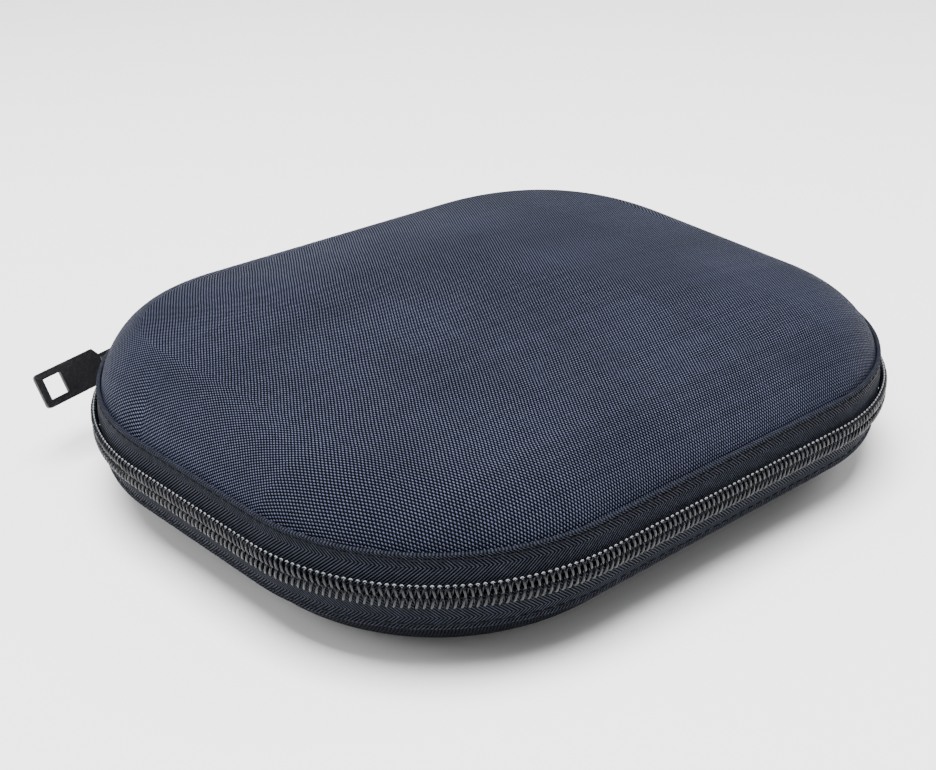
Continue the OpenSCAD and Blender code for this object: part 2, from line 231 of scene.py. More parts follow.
def strip(grid, profile, stations, side=1, closed=False):
    """A closed profile of [inset, height] points carried along stations; side -1 mirrors it."""
    n = len(profile)
    path = Path(stations)
    across = [0.0]
    for p, q in zip(profile, profile[1:] + profile[:1]):
        across.append(across[-1] + math.hypot(q[0] - p[0], q[1] - p[1]))
    rows = [[(*spot(s, d), MID + side * z) for d, z in profile] for s in stations]
    length = list(path.at)
    if closed:
        p, q = spot(stations[-1], 0), spot(stations[0], 0)
        length.append(length[-1] + math.hypot(q[0] - p[0], q[1] - p[1]))
    uvs = [[(s, v) for v in across] for s in length]
    base = grid.rows(rows, uvs, closed_row=True, closed_rows=closed, flip=side > 0)
    if not closed:
        last = base + (len(stations) - 1) * n
        grid.cap(range(base, base + n), (0, 0), flip=side < 0)
        grid.cap(range(last, last + n), (0, 0), flip=side > 0)


def tube(grid, line, radius, sides=6):
    """A round thread along a line of points. radius is a number, or a function of 0 to 1."""
    rows, uvs, run = [], [], 0.0
    end = len(line) - 1
    for i, p in enumerate(line):
        t = (Vector(line[min(i + 1, end)]) - Vector(line[max(i - 1, 0)])).normalized()
        if i == 0:
            up = Vector((0, 0, 1)) if abs(t.z) < 0.95 else Vector((1, 0, 0))
            u = t.cross(up).normalized()
        else:
            u = (u - t * u.dot(t)).normalized()
            run += (Vector(p) - Vector(line[i - 1])).length
        v = t.cross(u)
        r = radius(i / end) if callable(radius) else radius
        ring = []
        for k in range(sides):
            w = 2 * math.pi * k / sides
            ring.append(tuple(Vector(p) + u * (r * math.cos(w)) + v * (r * math.sin(w))))
        rows.append(ring)
        uvs.append([(run, 2 * math.pi * k / sides) for k in range(sides + 1)])
    first = grid.rows(rows, uvs, closed_row=True)
    last = first + end * sides
    grid.cap(range(first, first + sides), (0, 0), flip=True)
    grid.cap(range(last, last + sides), (0, 0))


# ---------------------------------------------------------------- shells
def wall_z(rise, k, t):
    """A height on the wall of the layer that lies k inside the cover's face, at t degrees."""
    return SEAM_H + (rise - k) * math.sin(math.radians(t))


def wall_in(rise, run, k, t):
    """The inset of that layer's wall at t degrees."""
    a = math.radians(t)
    return SEAM_IN + k + (run - k) * (1 - math.cos(a)) + LEAN * (rise - k) * math.sin(a)


def inset_at(rise, run, k, z):
    """The inset of that layer's wall at height z."""
    return wall_in(rise, run, k, math.degrees(math.asin((z - SEAM_H) / (rise - k))))


WHOLE = whole()


def face_rings(rise, run, k, turn, crown):
    """Rows of points and of cloth coordinates from the seam to the crown's centre."""
    ts = [turn * i / WALL_ROWS for i in range(WALL_ROWS + 1)]
    edge_in, edge_z = wall_in(rise, run, k, turn), wall_z(rise, k, turn)
    down = [0.0]
    for t0, t1 in zip(reversed(ts[:-1]), reversed(ts[1:])):
        down.append(
            down[-1]
            + math.hypot(
                wall_in(rise, run, k, t1) - wall_in(rise, run, k, t0),
                wall_z(rise, k, t1) - wall_z(rise, k, t0),
            )
        )
    down.reverse()
    rows, uvs = [], []
    for t, length in zip(ts, down):
        inset, z = wall_in(rise, run, k, t), wall_z(rise, k, t)
        rows.append([(*spot(s, inset), z) for s in WHOLE])
        uv = []
        for s in WHOLE:
            (x, y), (nx, ny) = spot(s, edge_in), normal(s)
            uv.append((x + nx * length, y + ny * length))
        uvs.append(uv + [uv[0]])
    edge = [spot(s, edge_in) for s in WHOLE]
    for i in range(1, CROWN_ROWS):
        u = 1 - i / CROWN_ROWS
        rows.append([(x * u, y * u, edge_z + crown * (1 - u * u)) for x, y in edge])
        uv = [(x * u, y * u) for x, y in edge]
        uvs.append(uv + [uv[0]])
    return rows, uvs, (0.0, 0.0, edge_z + crown)


def shell(name, rise, run, k0, k1, turn, crown, side, material):
    """A moulded layer between k0 and k1 inside the cover's face."""
    grid = Grid()
    bases = []
    for k, inner in ((k0, False), (k1, True)):
        rows, uvs, pole = face_rings(rise, run, k, turn, crown)
        rows = [[(x, y, MID + side * z) for x, y, z in row] for row in rows]
        flip = inner == (side > 0)
        base = grid.rows(rows, uvs, closed_row=True, flip=flip)
        n, m = len(rows[0]), len(rows)
        tip = len(grid.verts)
        grid.verts.append((0, 0, MID + side * pole[2]))
        for j in range(n):
            ids = [base + (m - 1) * n + j, base + (m - 1) * n + (j + 1) % n, tip]
            uv = [uvs[-1][j], uvs[-1][j + 1], (0, 0)]
            if flip:
                ids.reverse()
                uv.reverse()
            grid.faces.append(ids)
            grid.uvs.append(uv)
        bases.append(base)
    n = len(WHOLE)
    for j in range(n):
        ids = [bases[0] + (j + 1) % n, bases[0] + j, bases[1] + j, bases[1] + (j + 1) % n]
        if side < 0:
            ids.reverse()
        grid.faces.append(ids)
        grid.uvs.append([(0, 0)] * 4)
    return grid.finish(name, material, sharp=50)


# ---------------------------------------------------------------- materials
class Mat:
    """A small help for writing node materials: each method adds a node and gives its output."""

    def __init__(self, name):
        self.m = bpy.data.materials.new(name)
        self.m.use_nodes = True
        self.t = self.m.node_tree
        self.t.nodes.clear()
        self.out = self.t.nodes.new("ShaderNodeOutputMaterial")
        self.bsdf = self.t.nodes.new("ShaderNodeBsdfPrincipled")
        self.t.links.new(self.bsdf.outputs[0], self.out.inputs[0])

    def put(self, socket, value):
        if isinstance(value, bpy.types.NodeSocket):
            self.t.links.new(value, socket)
        elif hasattr(socket.default_value, "__len__"):
            v = tuple(value) if hasattr(value, "__len__") else (value,) * 3
            if len(socket.default_value) == 4 and len(v) == 3:
                v += (1.0,)
            socket.default_value = v
        else:
            socket.default_value = value

    def math(self, op, a, b=None):
        n = self.t.nodes.new("ShaderNodeMath")
        n.operation = op
        for i, v in enumerate((a, b)):
            if v is not None:
                self.put(n.inputs[i], v)
        return n.outputs[0]

    def uv(self, scale=(1, 1, 1)):
        n = self.t.nodes.new("ShaderNodeUVMap")
        n.uv_map = "cloth"
        return self.scaled(n.outputs[0], scale)

    def place(self, scale=(1, 1, 1)):
        n = self.t.nodes.new("ShaderNodeTexCoord")
        return self.scaled(n.outputs["Object"], scale)

    def scaled(self, vector, scale):
        n = self.t.nodes.new("ShaderNodeVectorMath")
        n.operation = "MULTIPLY"
        self.put(n.inputs[0], vector)
        self.put(n.inputs[1], scale)
        return n.outputs[0]

    def added(self, a, b):
        n = self.t.nodes.new("ShaderNodeVectorMath")
        self.put(n.inputs[0], a)
        self.put(n.inputs[1], b)
        return n.outputs[0]

    def split(self, vector):
        n = self.t.nodes.new("ShaderNodeSeparateXYZ")
        self.put(n.inputs[0], vector)
        return n.outputs[0], n.outputs[1], n.outputs[2]

    def join(self, x, y, z=0.0):
        n = self.t.nodes.new("ShaderNodeCombineXYZ")
        for i, v in enumerate((x, y, z)):
            self.put(n.inputs[i], v)
        return n.outputs[0]

    def noise(self, vector, scale, detail=2.0, rough=0.5, colour=False):
        n = self.t.nodes.new("ShaderNodeTexNoise")
        self.put(n.inputs["Vector"], vector)
        self.put(n.inputs["Scale"], scale)
        self.put(n.inputs["Detail"], detail)
        self.put(n.inputs["Roughness"], rough)
        return n.outputs["Color" if colour else 0]

    def white(self, vector):
        n = self.t.nodes.new("ShaderNodeTexWhiteNoise")
        n.noise_dimensions = "2D"
        self.put(n.inputs["Vector"], vector)
        return n.outputs["Value"]

    def ramp(self, value, low, high, a=0.0, b=1.0):
        n = self.t.nodes.new("ShaderNodeMapRange")
        n.interpolation_type = "SMOOTHSTEP"
        for i, v in enumerate((value, low, high, a, b)):
            self.put(n.inputs[i], v)
        return n.outputs[0]

    def mix(self, factor, a, b):
        n = self.t.nodes.new("ShaderNodeMix")
        n.data_type = "RGBA"
        self.put(n.inputs[0], factor)
        self.put(n.inputs[6], a)
        self.put(n.inputs[7], b)
        return n.outputs[2]

    def tone(self, colour, value):
        """colour, with its brightness times value"""
        n = self.t.nodes.new("ShaderNodeVectorMath")
        n.operation = "SCALE"
        self.put(n.inputs[0], colour)
        self.put(n.inputs["Scale"], value)
        return n.outputs[0]

    def bump(self, height, distance, strength):
        n = self.t.nodes.new("ShaderNodeBump")
        self.put(n.inputs["Strength"], strength)
        self.put(n.inputs["Distance"], distance)
        self.put(n.inputs["Height"], height)
        return n.outputs[0]

    def surface(self, colour, rough, normal=None, **more):
        self.put(self.bsdf.inputs["Base Color"], colour)
        self.put(self.bsdf.inputs["Roughness"], rough)
        if normal is not None:
            self.put(self.bsdf.inputs["Normal"], normal)
        for key, value in more.items():
            self.put(self.bsdf.inputs[key.replace("_", " ").title().replace("Ior", "IOR")], value)
        return self.m


def weave(name, warp, weft, gap, warp_pitch, weft_pitch, relief, gloss):
    """A plain weave from cloth coordinates: the warp floats alternate with the weft floats. The warp
    colour is a painted highlight on the yarn crowns; the weft and gap colours are painted shade.
    """
    m = Mat(name)
    uv = m.uv()
    wander = m.noise(m.place(), 60.0, 1.0, colour=True)
    uv = m.added(uv, m.scaled(m.added(wander, (-0.5, -0.5, -0.5)), 0.0007))
    u, v, _ = m.split(m.scaled(uv, (1 / warp_pitch, 1 / weft_pitch, 1.0)))
    su = m.math("SINE", m.math("MULTIPLY", u, math.pi))
    sv = m.math("SINE", m.math("MULTIPLY", v, math.pi))
    cell = m.math("MULTIPLY", su, sv)
    over = m.math("POWER", m.math("MAXIMUM", cell, 0.0), 0.7)
    under = m.math("POWER", m.math("MAXIMUM", m.math("MULTIPLY", cell, -1.0), 0.0), 0.7)
    end = m.white(m.join(m.math("FLOOR", u), 3.0))
    pick = m.white(m.join(5.0, m.math("FLOOR", v)))
    vary = m.math("ADD", m.math("MULTIPLY", end, 0.22), m.math("MULTIPLY", pick, 0.22))
    vary = m.math("ADD", vary, 0.78)
    cloud = m.ramp(m.noise(m.place(), 28.0, 3.0), 0.35, 0.65, 0.88, 1.1)
    fibre = m.ramp(m.noise(uv, 9000.0, 2.0), 0.3, 0.7, 0.8, 1.2)
    # painted light: the warp floats take the warp colour as a painted highlight, and the gaps between
    # yarns take the gap colour as painted shade
    lit = m.tone(m.mix(over, gap, warp), m.math("MULTIPLY", vary, fibre))
    # the weft floats take the darker weft colour as painted shade
    colour = m.tone(m.mix(m.math("MULTIPLY", under, 0.85), lit, weft), cloud)
    height = m.math("ADD", over, m.math("MULTIPLY", under, 0.7))
    normal = m.bump(m.math("ADD", height, m.math("MULTIPLY", fibre, 0.12)), relief, 0.9)
    rough = m.math("SUBTRACT", 0.62, m.math("MULTIPLY", over, 0.12))
    shine = m.math("ADD", 0.01, m.math("MULTIPLY", over, gloss))
    return m.surface(colour, rough, normal, specular_ior_level=shine, specular_tint=(0.75, 0.82, 1.0))


def herringbone(name):
    """Zipper tape: fine diagonal ribs that meet in a point along the tape, and a selvedge."""
    m = Mat(name)
    s, v, _ = m.split(m.uv((1000.0, 1000.0, 1.0)))
    # v runs up the tape's face from its hidden foot: the point lies above the middle
    apex, slope, rib_pitch, thread_pitch, comb_pitch = 5.7, 1.15, 0.95, 0.42, 0.8
    fold = m.math("ABSOLUTE", m.math("SUBTRACT", v, apex))
    ribs = m.math("ADD", s, m.math("MULTIPLY", fold, slope))
    wave = m.math("SINE", m.math("MULTIPLY", ribs, 2 * math.pi / rib_pitch))
    thread = m.math("SINE", m.math("MULTIPLY", v, 2 * math.pi / thread_pitch))
    edge = m.ramp(v, 8.55, 8.85)
    comb = m.math("SINE", m.math("MULTIPLY", s, 2 * math.pi / comb_pitch))
    n = m.t.nodes.new("ShaderNodeMix")
    m.put(n.inputs[0], edge)
    m.put(n.inputs[2], m.math("ADD", m.math("MULTIPLY", wave, 0.5), m.math("MULTIPLY", thread, 0.14)))
    m.put(n.inputs[3], m.math("MULTIPLY", comb, 0.35))
    height = n.outputs[0]
    lint = m.ramp(m.noise(m.place(), 900.0, 3.0), 0.35, 0.7, 0.8, 1.25)
    # painted light: the rib crests are painted lighter and the grooves near black, a painted highlight and
    # painted shade on the tape body and its selvedge
    lit = m.ramp(height, -0.2, 0.6)
    body = m.mix(lit, (0.0010, 0.0011, 0.0018), (0.028, 0.032, 0.046))
    selvedge = m.mix(lit, (0.004, 0.0045, 0.007), (0.03, 0.034, 0.05))
    return m.surface(
        m.tone(m.mix(edge, body, selvedge), lint), 0.62, m.bump(height, 0.00014, 0.9),
        specular_ior_level=m.math("ADD", 0.01, m.math("MULTIPLY", lit, 0.09)),
    )


def ribbed(name, groove_shade_colour, rib_lit_colour, pitch, relief):
    """Grosgrain or hinge tape: ribs across its length, with a fine thread within each."""
    m = Mat(name)
    s, v, _ = m.split(m.uv((1000.0, 1000.0, 1.0)))
    rib = m.math("SINE", m.math("MULTIPLY", s, 2 * math.pi / pitch))
    thread = m.math("SINE", m.math("MULTIPLY", v, 2 * math.pi / 0.35))
    height = m.math("ADD", m.math("MULTIPLY", rib, 0.5), m.math("MULTIPLY", thread, 0.18))
    lint = m.ramp(m.noise(m.place(), 700.0, 3.0), 0.3, 0.7, 0.8, 1.2)
    # painted light: the grooves take the darker colour as painted shade and the rib crests the lighter one
    # as a painted highlight
    colour = m.tone(m.mix(m.ramp(height, -0.5, 0.6), groove_shade_colour, rib_lit_colour), lint)
    return m.surface(
        colour, 0.7, m.bump(height, relief, 0.8), sheen_weight=0.02, sheen_roughness=0.45,
        sheen_tint=(0.55, 0.6, 0.7), specular_ior_level=0.1,
    )


def plastic(name, colour, rough, edge_highlight=None, spec=0.5, metal=0.0):
    """Smooth yarn, nylon or metal with a fine grain; given an edge colour, the sharp edges get a painted
    highlight in it.
    """
    m = Mat(name)
    grain = m.noise(m.place(), 2500.0, 3.0)
    cloud = m.ramp(m.noise(m.place(), 120.0, 3.0), 0.35, 0.7, 0.85, 1.15)
    tone = m.tone(colour, cloud)
    rough = m.math("ADD", rough - 0.06, m.math("MULTIPLY", grain, 0.12))
    # painted highlight: the sharp edges are painted lighter in the given edge colour, broken into patches
    # by noise
    if edge_highlight:
        n = m.t.nodes.new("ShaderNodeNewGeometry")
        sharp = m.ramp(n.outputs["Pointiness"], 0.52, 0.62)
        highlight_breakup = m.ramp(m.noise(m.place(), 1500.0, 4.0), 0.45, 0.62)
        tone = m.mix(m.math("MULTIPLY", sharp, highlight_breakup), tone, edge_highlight)
    return m.surface(
        tone, rough, m.bump(grain, 0.00001, 0.6), specular_ior_level=spec, metallic=metal
    )


def tricot(name, low, high):
    """Brushed knit lining: short fuzz over fine wales."""
    m = Mat(name)
    u, v, _ = m.split(m.uv((1000.0, 1000.0, 1.0)))
    wale = m.math("SINE", m.math("MULTIPLY", u, 2 * math.pi / 0.9))
    course = m.math("SINE", m.math("MULTIPLY", v, 2 * math.pi / 0.6))
    fuzz = m.noise(m.place(), 1600.0, 4.0, 0.7)
    nap = m.noise(m.place((1.0, 0.35, 1.0)), 45.0, 3.0)
    height = m.math("ADD", fuzz, m.math("MULTIPLY", m.math("MULTIPLY", wale, course), 0.12))
    colour = m.mix(m.ramp(fuzz, 0.3, 0.7), low, high)
    colour = m.tone(colour, m.ramp(nap, 0.3, 0.7, 0.9, 1.08))
    return m.surface(
        colour, 0.95, m.bump(height, 0.0003, 0.9), sheen_weight=0.06, sheen_roughness=0.6,
        sheen_tint=(0.6, 0.62, 0.68), specular_ior_level=0.05,
    )


def cellular(name):
    """Closed-cell foam, seen only where its edge shows."""
    m = Mat(name)
    n = m.t.nodes.new("ShaderNodeTexVoronoi")
    m.put(n.inputs["Vector"], m.place())
    m.put(n.inputs["Scale"], 1400.0)
    cell = n.outputs["Distance"]
    colour = m.mix(cell, (0.05, 0.05, 0.055), (0.15, 0.15, 0.16))
    return m.surface(colour, 0.9, m.bump(cell, 0.0002, 0.8), specular_ior_level=0.2)


# painted light: the bright warp colour is a painted highlight, and the near-black weft and gap colours are
# painted shade
woven = weave(
    "woven_nylon", (0.063, 0.071, 0.117), (0.0026, 0.0030, 0.0048), (0.0004, 0.0005, 0.0008),
    0.00043, 0.00074, 0.00022, 0.20,
)
# painted shade: the base cover's weave is a darker copy of the lid's, the same fabric painted darker for
# the lower half
base_weave_shaded = weave(
    "woven_nylon_base_painted_shade", (0.012, 0.0135, 0.020), (0.0015, 0.0018, 0.0028), (0.0004, 0.0005, 0.0008),
    0.00043, 0.00074, 0.00018, 0.08,
)
tape_mat = herringbone("zipper_tape")
# for each ribbed tape, the first colour is painted shade in the grooves and the second a painted highlight
# on the crests
hinge_mat = ribbed("hinge_tape", (0.003, 0.0035, 0.0052), (0.015, 0.017, 0.025), 0.9, 0.00016)
binding_mat = ribbed("grosgrain", (0.004, 0.0045, 0.006), (0.022, 0.024, 0.032), 0.7, 0.0002)
elastic_mat = ribbed("ribbed_elastic", (0.005, 0.005, 0.006), (0.03, 0.031, 0.036), 0.8, 0.0003)
thread_mat = plastic("sewing_thread", (0.006, 0.0066, 0.0095), 0.6, spec=0.08)
# painted highlight: this light grey thread colour stands for the light on the upper row of coil bends; the
# thread itself is dark
lid_coil_thread_highlight_mat = plastic("coil_thread", (0.21, 0.215, 0.23), 0.4, spec=0.4)
coil_mat = plastic("coil_nylon", (0.0036, 0.0043, 0.0072), 0.24, spec=0.34)
net_mat = plastic("net_yarn", (0.012, 0.013, 0.017), 0.65, spec=0.3)
lining_mat = tricot("brushed_lining", (0.012, 0.013, 0.016), (0.045, 0.047, 0.055))
foam_mat = cellular("moulded_foam")
# the lighter edge colours of the enamel and the pull are painted highlights on their sharp edges
enamel = plastic("black_enamel", (0.006, 0.006, 0.007), 0.42, spec=0.3, edge_highlight=(0.05, 0.05, 0.053))
pull_mat = plastic("satin_black_pull", (0.006, 0.006, 0.0072), 0.42, spec=0.28, edge_highlight=(0.022, 0.022, 0.024))
steel = plastic("spring_steel", (0.42, 0.42, 0.43), 0.3, metal=1.0)


# ---------------------------------------------------------------- camera
# its directions and place come from a fit of the outline, in metres
cam_data = bpy.data.cameras.new("camera")
camera = bpy.data.objects.new("camera", cam_data)
bpy.context.scene.collection.objects.link(camera)
right = Vector((0.78112, -0.62370, -0.02900))
up = Vector((0.29557, 0.32846, 0.89708))
back = Vector((-0.54999, -0.70930, 0.44091))
place = Vector((-0.21664, -0.25547, 0.18824))
camera.matrix_world = Matrix(
    [(right[i], up[i], back[i], place[i]) for i in range(3)] + [(0, 0, 0, 1)]
)
cam_data.sensor_width = 36.0
cam_data.lens = 52.1
cam_data.shift_x = 0.0352
cam_data.shift_y = -0.0203
cam_data.clip_start = 0.01
cam_data.clip_end = 20.0
bpy.context.scene.camera = camera

# ---------------------------------------------------------------- covers and linings
LID = (LID_RISE, LID_RUN, LID_TURN, LID_CROWN, 1)
BASE = (BASE_RISE, BASE_RUN, 90.0, 0.0, -1)


def layer(name, half, k0, k1, material, slot, body, node):
    """A cover or a lining of one half, in place of its CAD node."""
    rise, run, turn, crown, side = half
    o = shell(name, rise, run, k0, k1, turn, crown, side, material)
    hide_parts(node)
    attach(o, body)
    return o


lid_cover = layer("lid_cover", LID, 0, COVER_T, woven, "woven_cover", "lid", "upper_cover")
# the base cover takes the darker copy of the weave, its painted shade
base_cover = layer(
    "base_cover", BASE, 0, COVER_T, base_weave_shaded, "woven_cover", "base", "lower_cover"
)
lid_lining = layer(
    "lid_lining", LID, LINING_K, INSIDE_K, lining_mat, "lining", "lid", "upper_lining"
)
base_lining = layer(
    "base_lining", BASE, LINING_K, INSIDE_K, lining_mat, "lining", "base", "lower_lining"
)
for name in ("upper_foam_shell", "lower_foam_shell"):
    nodes[name].data.materials.clear()
    nodes[name].data.materials.append(foam_mat)


# ---------------------------------------------------------------- binding
def binding_reach(rise, run):
    """The insets of the binding's outer face at its foot and at its top."""
    k = INSIDE_K + 0.1
    return wall_in(rise, run, k, 0), inset_at(rise, run, k, BINDING_TOP)


def binding_profile(rise, run):
    """A tape folded over the shell's raw edge, with its rounded corners."""
    foot, top, t = BINDING_FOOT, BINDING_TOP, BINDING_T
    low, high = binding_reach(rise, run)
    return [
        (SEAM_IN + 0.25, foot - t), (SEAM_IN, foot - t + 0.25), (SEAM_IN, foot),
        (low, foot), (high, top), (high + 0.3, top + 0.12), (high + t, top - 0.1),
        (low + t + 0.12, foot - t + 1.0), (low + t - 0.1, foot - t + 0.3), (low + t - 0.5, foot - t),
    ]


def binding_face(rise, run, z):
    """The inset of the binding's inner face at height z."""
    foot, t = BINDING_FOOT, BINDING_T
    low, high = binding_reach(rise, run)
    return low + t + (high - low) * (z - foot + t) / (BINDING_TOP - foot + t)


def ring_piece(name, node, body, material, side, profile, stations, closed):
    """A strip along the outline, in place of its CAD node."""
    grid = Grid()
    strip(grid, profile, stations, side, closed)
    o = grid.finish(name, material, sharp=55)
    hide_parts(node)
    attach(o, body)


for side, body, node, half in ((1, "lid", "upper", LID), (-1, "base", "lower", BASE)):
    ring_piece(
        f"{body}_binding", f"{node}_binding", body, binding_mat, side,
        binding_profile(half[0], half[1]), WHOLE, True,
    )

# ---------------------------------------------------------------- zipper tapes
TAPE_FACE = [
    (TAPE_IN, 0.6), (TAPE_IN, 3.0), (TAPE_IN + 0.18, 4.4), (TAPE_IN + 0.36, 5.8),
    (TAPE_IN + 0.52, 7.2), (TAPE_IN + 0.62, 8.0), (TAPE_IN + 0.66, 8.5), (TAPE_IN + 0.52, 8.75),
    (TAPE_IN + 0.46, 9.05), (TAPE_IN + 0.55, 9.33), (TAPE_IN + 0.8, 9.5),
]
TAPE_BACK = [
    (TAPE_IN + 1.25, 9.5), (TAPE_IN + 1.5, 9.36), (TAPE_IN + 1.55, 9.1), (TAPE_IN + 1.35, 7.2),
    (TAPE_IN + 0.8, 3.0), (TAPE_IN + 0.8, 0.6),
]


def tape(side):
    """A zipper tape. The lid's is cut low behind the parked slider."""
    grid = Grid()
    full = TAPE_FACE + TAPE_BACK
    if side < 0:
        strip(grid, full, round_front(TAPE_END), side)
    else:
        strip(grid, full, round_front(PARK[1], 540 - TAPE_END), side)
        cut = [(TAPE_IN + 0.26, PARK_TOP)] + TAPE_FACE[3:] + TAPE_BACK[:4]
        cut.append((TAPE_IN + 1.05, PARK_TOP))
        strip(grid, cut, arc(BACK_LEFT, *PARK), side)
        strip(grid, full, arc(BACK_LEFT, TAPE_END, PARK[0]), side)
    return grid


for side, body, node in ((1, "lid", "upper"), (-1, "base", "lower")):
    o = tape(side).finish(f"{body}_zipper_tape", tape_mat, 60)
    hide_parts(f"{node}_zipper_tape")
    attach(o, body)


# ---------------------------------------------------------------- coils
def coil_path(side):
    """The way of one coil, where its first bend lies along it, and how many turns it has."""
    path = Path(round_front(PARK[1] if side > 0 else COIL_END, 540 - COIL_END))
    first = FIRST_BEND if side > 0 else FIRST_BEND + PITCH / 2
    return path, first, int((path.length - 2 * FIRST_BEND) / PITCH)


def coil(side):
    """One half of the zipper: a monofilament wound round and round along the tape's edge."""
    path, first, turns = coil_path(side)
    per = 12
    line = []
    for i in range((turns - 1) * per + 1):
        w = 2 * math.pi * i / per
        s = path.station(first + PITCH * i / per)
        x, y = spot(s, COIL_IN - COIL_DEPTH * math.sin(w))
        low = COIL_LOW + WEB_ROOM * min(1.0, max(0.0, (RUN_END - s[3]) / 4))
        z = (COIL_TOP + low) / 2 + (COIL_TOP - low) / 2 * math.cos(w)
        line.append((x, y, MID + side * z))
    grid = Grid()
    tube(grid, line, WIRE_R)
    return grid


for side, body, node in ((1, "lid", "upper"), (-1, "base", "lower")):
    o = coil(side).finish(f"{body}_zipper_coil", coil_mat)
    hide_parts(f"{node}_zipper_coil")
    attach(o, body)


def coil_stitch(side):
    """The thread that holds the coil to its tape shows as a short loop over each bend."""
    path, first, turns = coil_path(side)
    length, foot, rise, points = 0.8, 2.72, 0.28, 4
    grid = Grid()
    for i in range(turns):
        line = []
        for j in range(points + 1):
            w = j / points
            x, y = spot(path.station(first + PITCH * i + length * (w - 0.5)), 0.95)
            line.append((x, y, MID + side * (foot + rise * math.sin(math.pi * w))))
        tube(grid, line, 0.15, 5)
    return grid


# the lid's coil thread takes the light grey painted highlight, and the base's, facing down, keeps the dark
# thread colour
for side, body, node, material in (
    (1, "lid", "upper", lid_coil_thread_highlight_mat), (-1, "base", "lower", thread_mat)
):
    o = coil_stitch(side).finish(f"{body}_coil_thread", material)
    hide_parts(f"{node}_coil_thread")
    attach(o, body)


# ---------------------------------------------------------------- seam stitches
def stitches(path, at, length, gap, radius, dip):
    """A row of lockstitches: each is a short thread that dives into the cloth at its ends."""
    grid = Grid()
    inset, z = at
    count = int(path.length / (length + gap))
    step = path.length / count
    points = 6
    for i in range(count):
        line = []
        for j in range(points + 1):
            w = j / points
            s = path.station(i * step + gap / 2 + (step - gap) * w)
            line.append((*spot(s, inset + dip * (2 * w - 1) ** 4), z))
        tube(grid, line, lambda w: radius * (0.75 + 0.25 * math.sin(math.pi * w)))
    return grid


for side, body, node in ((1, "lid", "upper"), (-1, "base", "lower")):
    seam = stitches(
        Path(round_front(HINGE_END)), (TAPE_IN + 0.52, MID + side * 8.05), 2.6, 0.45, 0.2, 0.32
    )
    o = seam.finish(f"{body}_seam_stitches", thread_mat)
    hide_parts(f"{node}_seam_thread")
    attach(o, body)

# ---------------------------------------------------------------- cloth hinge
BACK = round_back(HINGE_END)


def hinge_strip(name, outer, thick, material, replaced):
    """One strip over both halves: outer is its outer face from the middle of the fold upward."""
    face = [(d, -z) for d, z in reversed(outer)] + outer
    back_face = [(d + thick, z) for d, z in reversed(face)]
    grid = Grid()
    strip(grid, face + back_face, BACK, 1)
    o = grid.finish(name, material, 60)
    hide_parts(*replaced)
    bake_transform(o)
    return o


def fine(points, step):
    """The same outline with points no further apart than about a step."""
    out = []
    for p, q in zip(points, points[1:]):
        n = max(1, round(math.hypot(q[0] - p[0], q[1] - p[1]) / step))
        out += [tuple(p[k] + (q[k] - p[k]) * i / n for k in range(2)) for i in range(n)]
    return out + [points[-1]]


hinge = hinge_strip(
    "hinge_cloth", fine([(-0.2, 0.25), (-0.2, 2.9), (0.5, 8.8)], 0.5) + [(0.62, 9.8), (0.82, 10.4)],
    0.85, hinge_mat, ("hinge_cloth_lower", "hinge_cloth_upper"),
)
hinge_inner = hinge_strip(
    "hinge_lining", fine([(2.9, 0.25), (2.9, 2.9), (3.6, 7.8)], 0.5),
    0.5, lining_mat, ("hinge_lining_lower", "hinge_lining_upper"),
)
back_length = Path(BACK).length / 1000

# ---------------------------------------------------------------- net pocket
POCKET_Z, POCKET_Y = 10.5, 8.0
POCKET_IN = binding_face(LID_RISE, LID_RUN, POCKET_Z + 1.0) + 0.1
NET_IN = POCKET_IN + 1.1


def inside_plan(x, y, d):
    """True if a point lies in the outline, inset by d."""
    ax, m = abs(x), d - SEAM_IN
    (bx, by, br), (fx, fy, fr) = (
        (c[0] + c[3] * m, c[1] + c[4] * m, c[2] - d - c[5] * m) for c in (BACK_RIGHT, FRONT_RIGHT)
    )
    if y > by and ax > bx:
        return math.hypot(ax - bx, y - by) <= br
    if y < fy and ax > fx:
        return math.hypot(ax - fx, y - fy) <= fr
    if y > by + br or y < fy - fr:
        return False
    return (ax - bx) * NX + (y - by) * NY <= br


def sag(x, y):
    """How far the net hangs below its sewn edge."""
    u = 1 - min(1.0, (x / 88.0) ** 2)
    v = 1 - min(1.0, ((y + 34) / 48.0) ** 2)
    return 1.4 * u * v


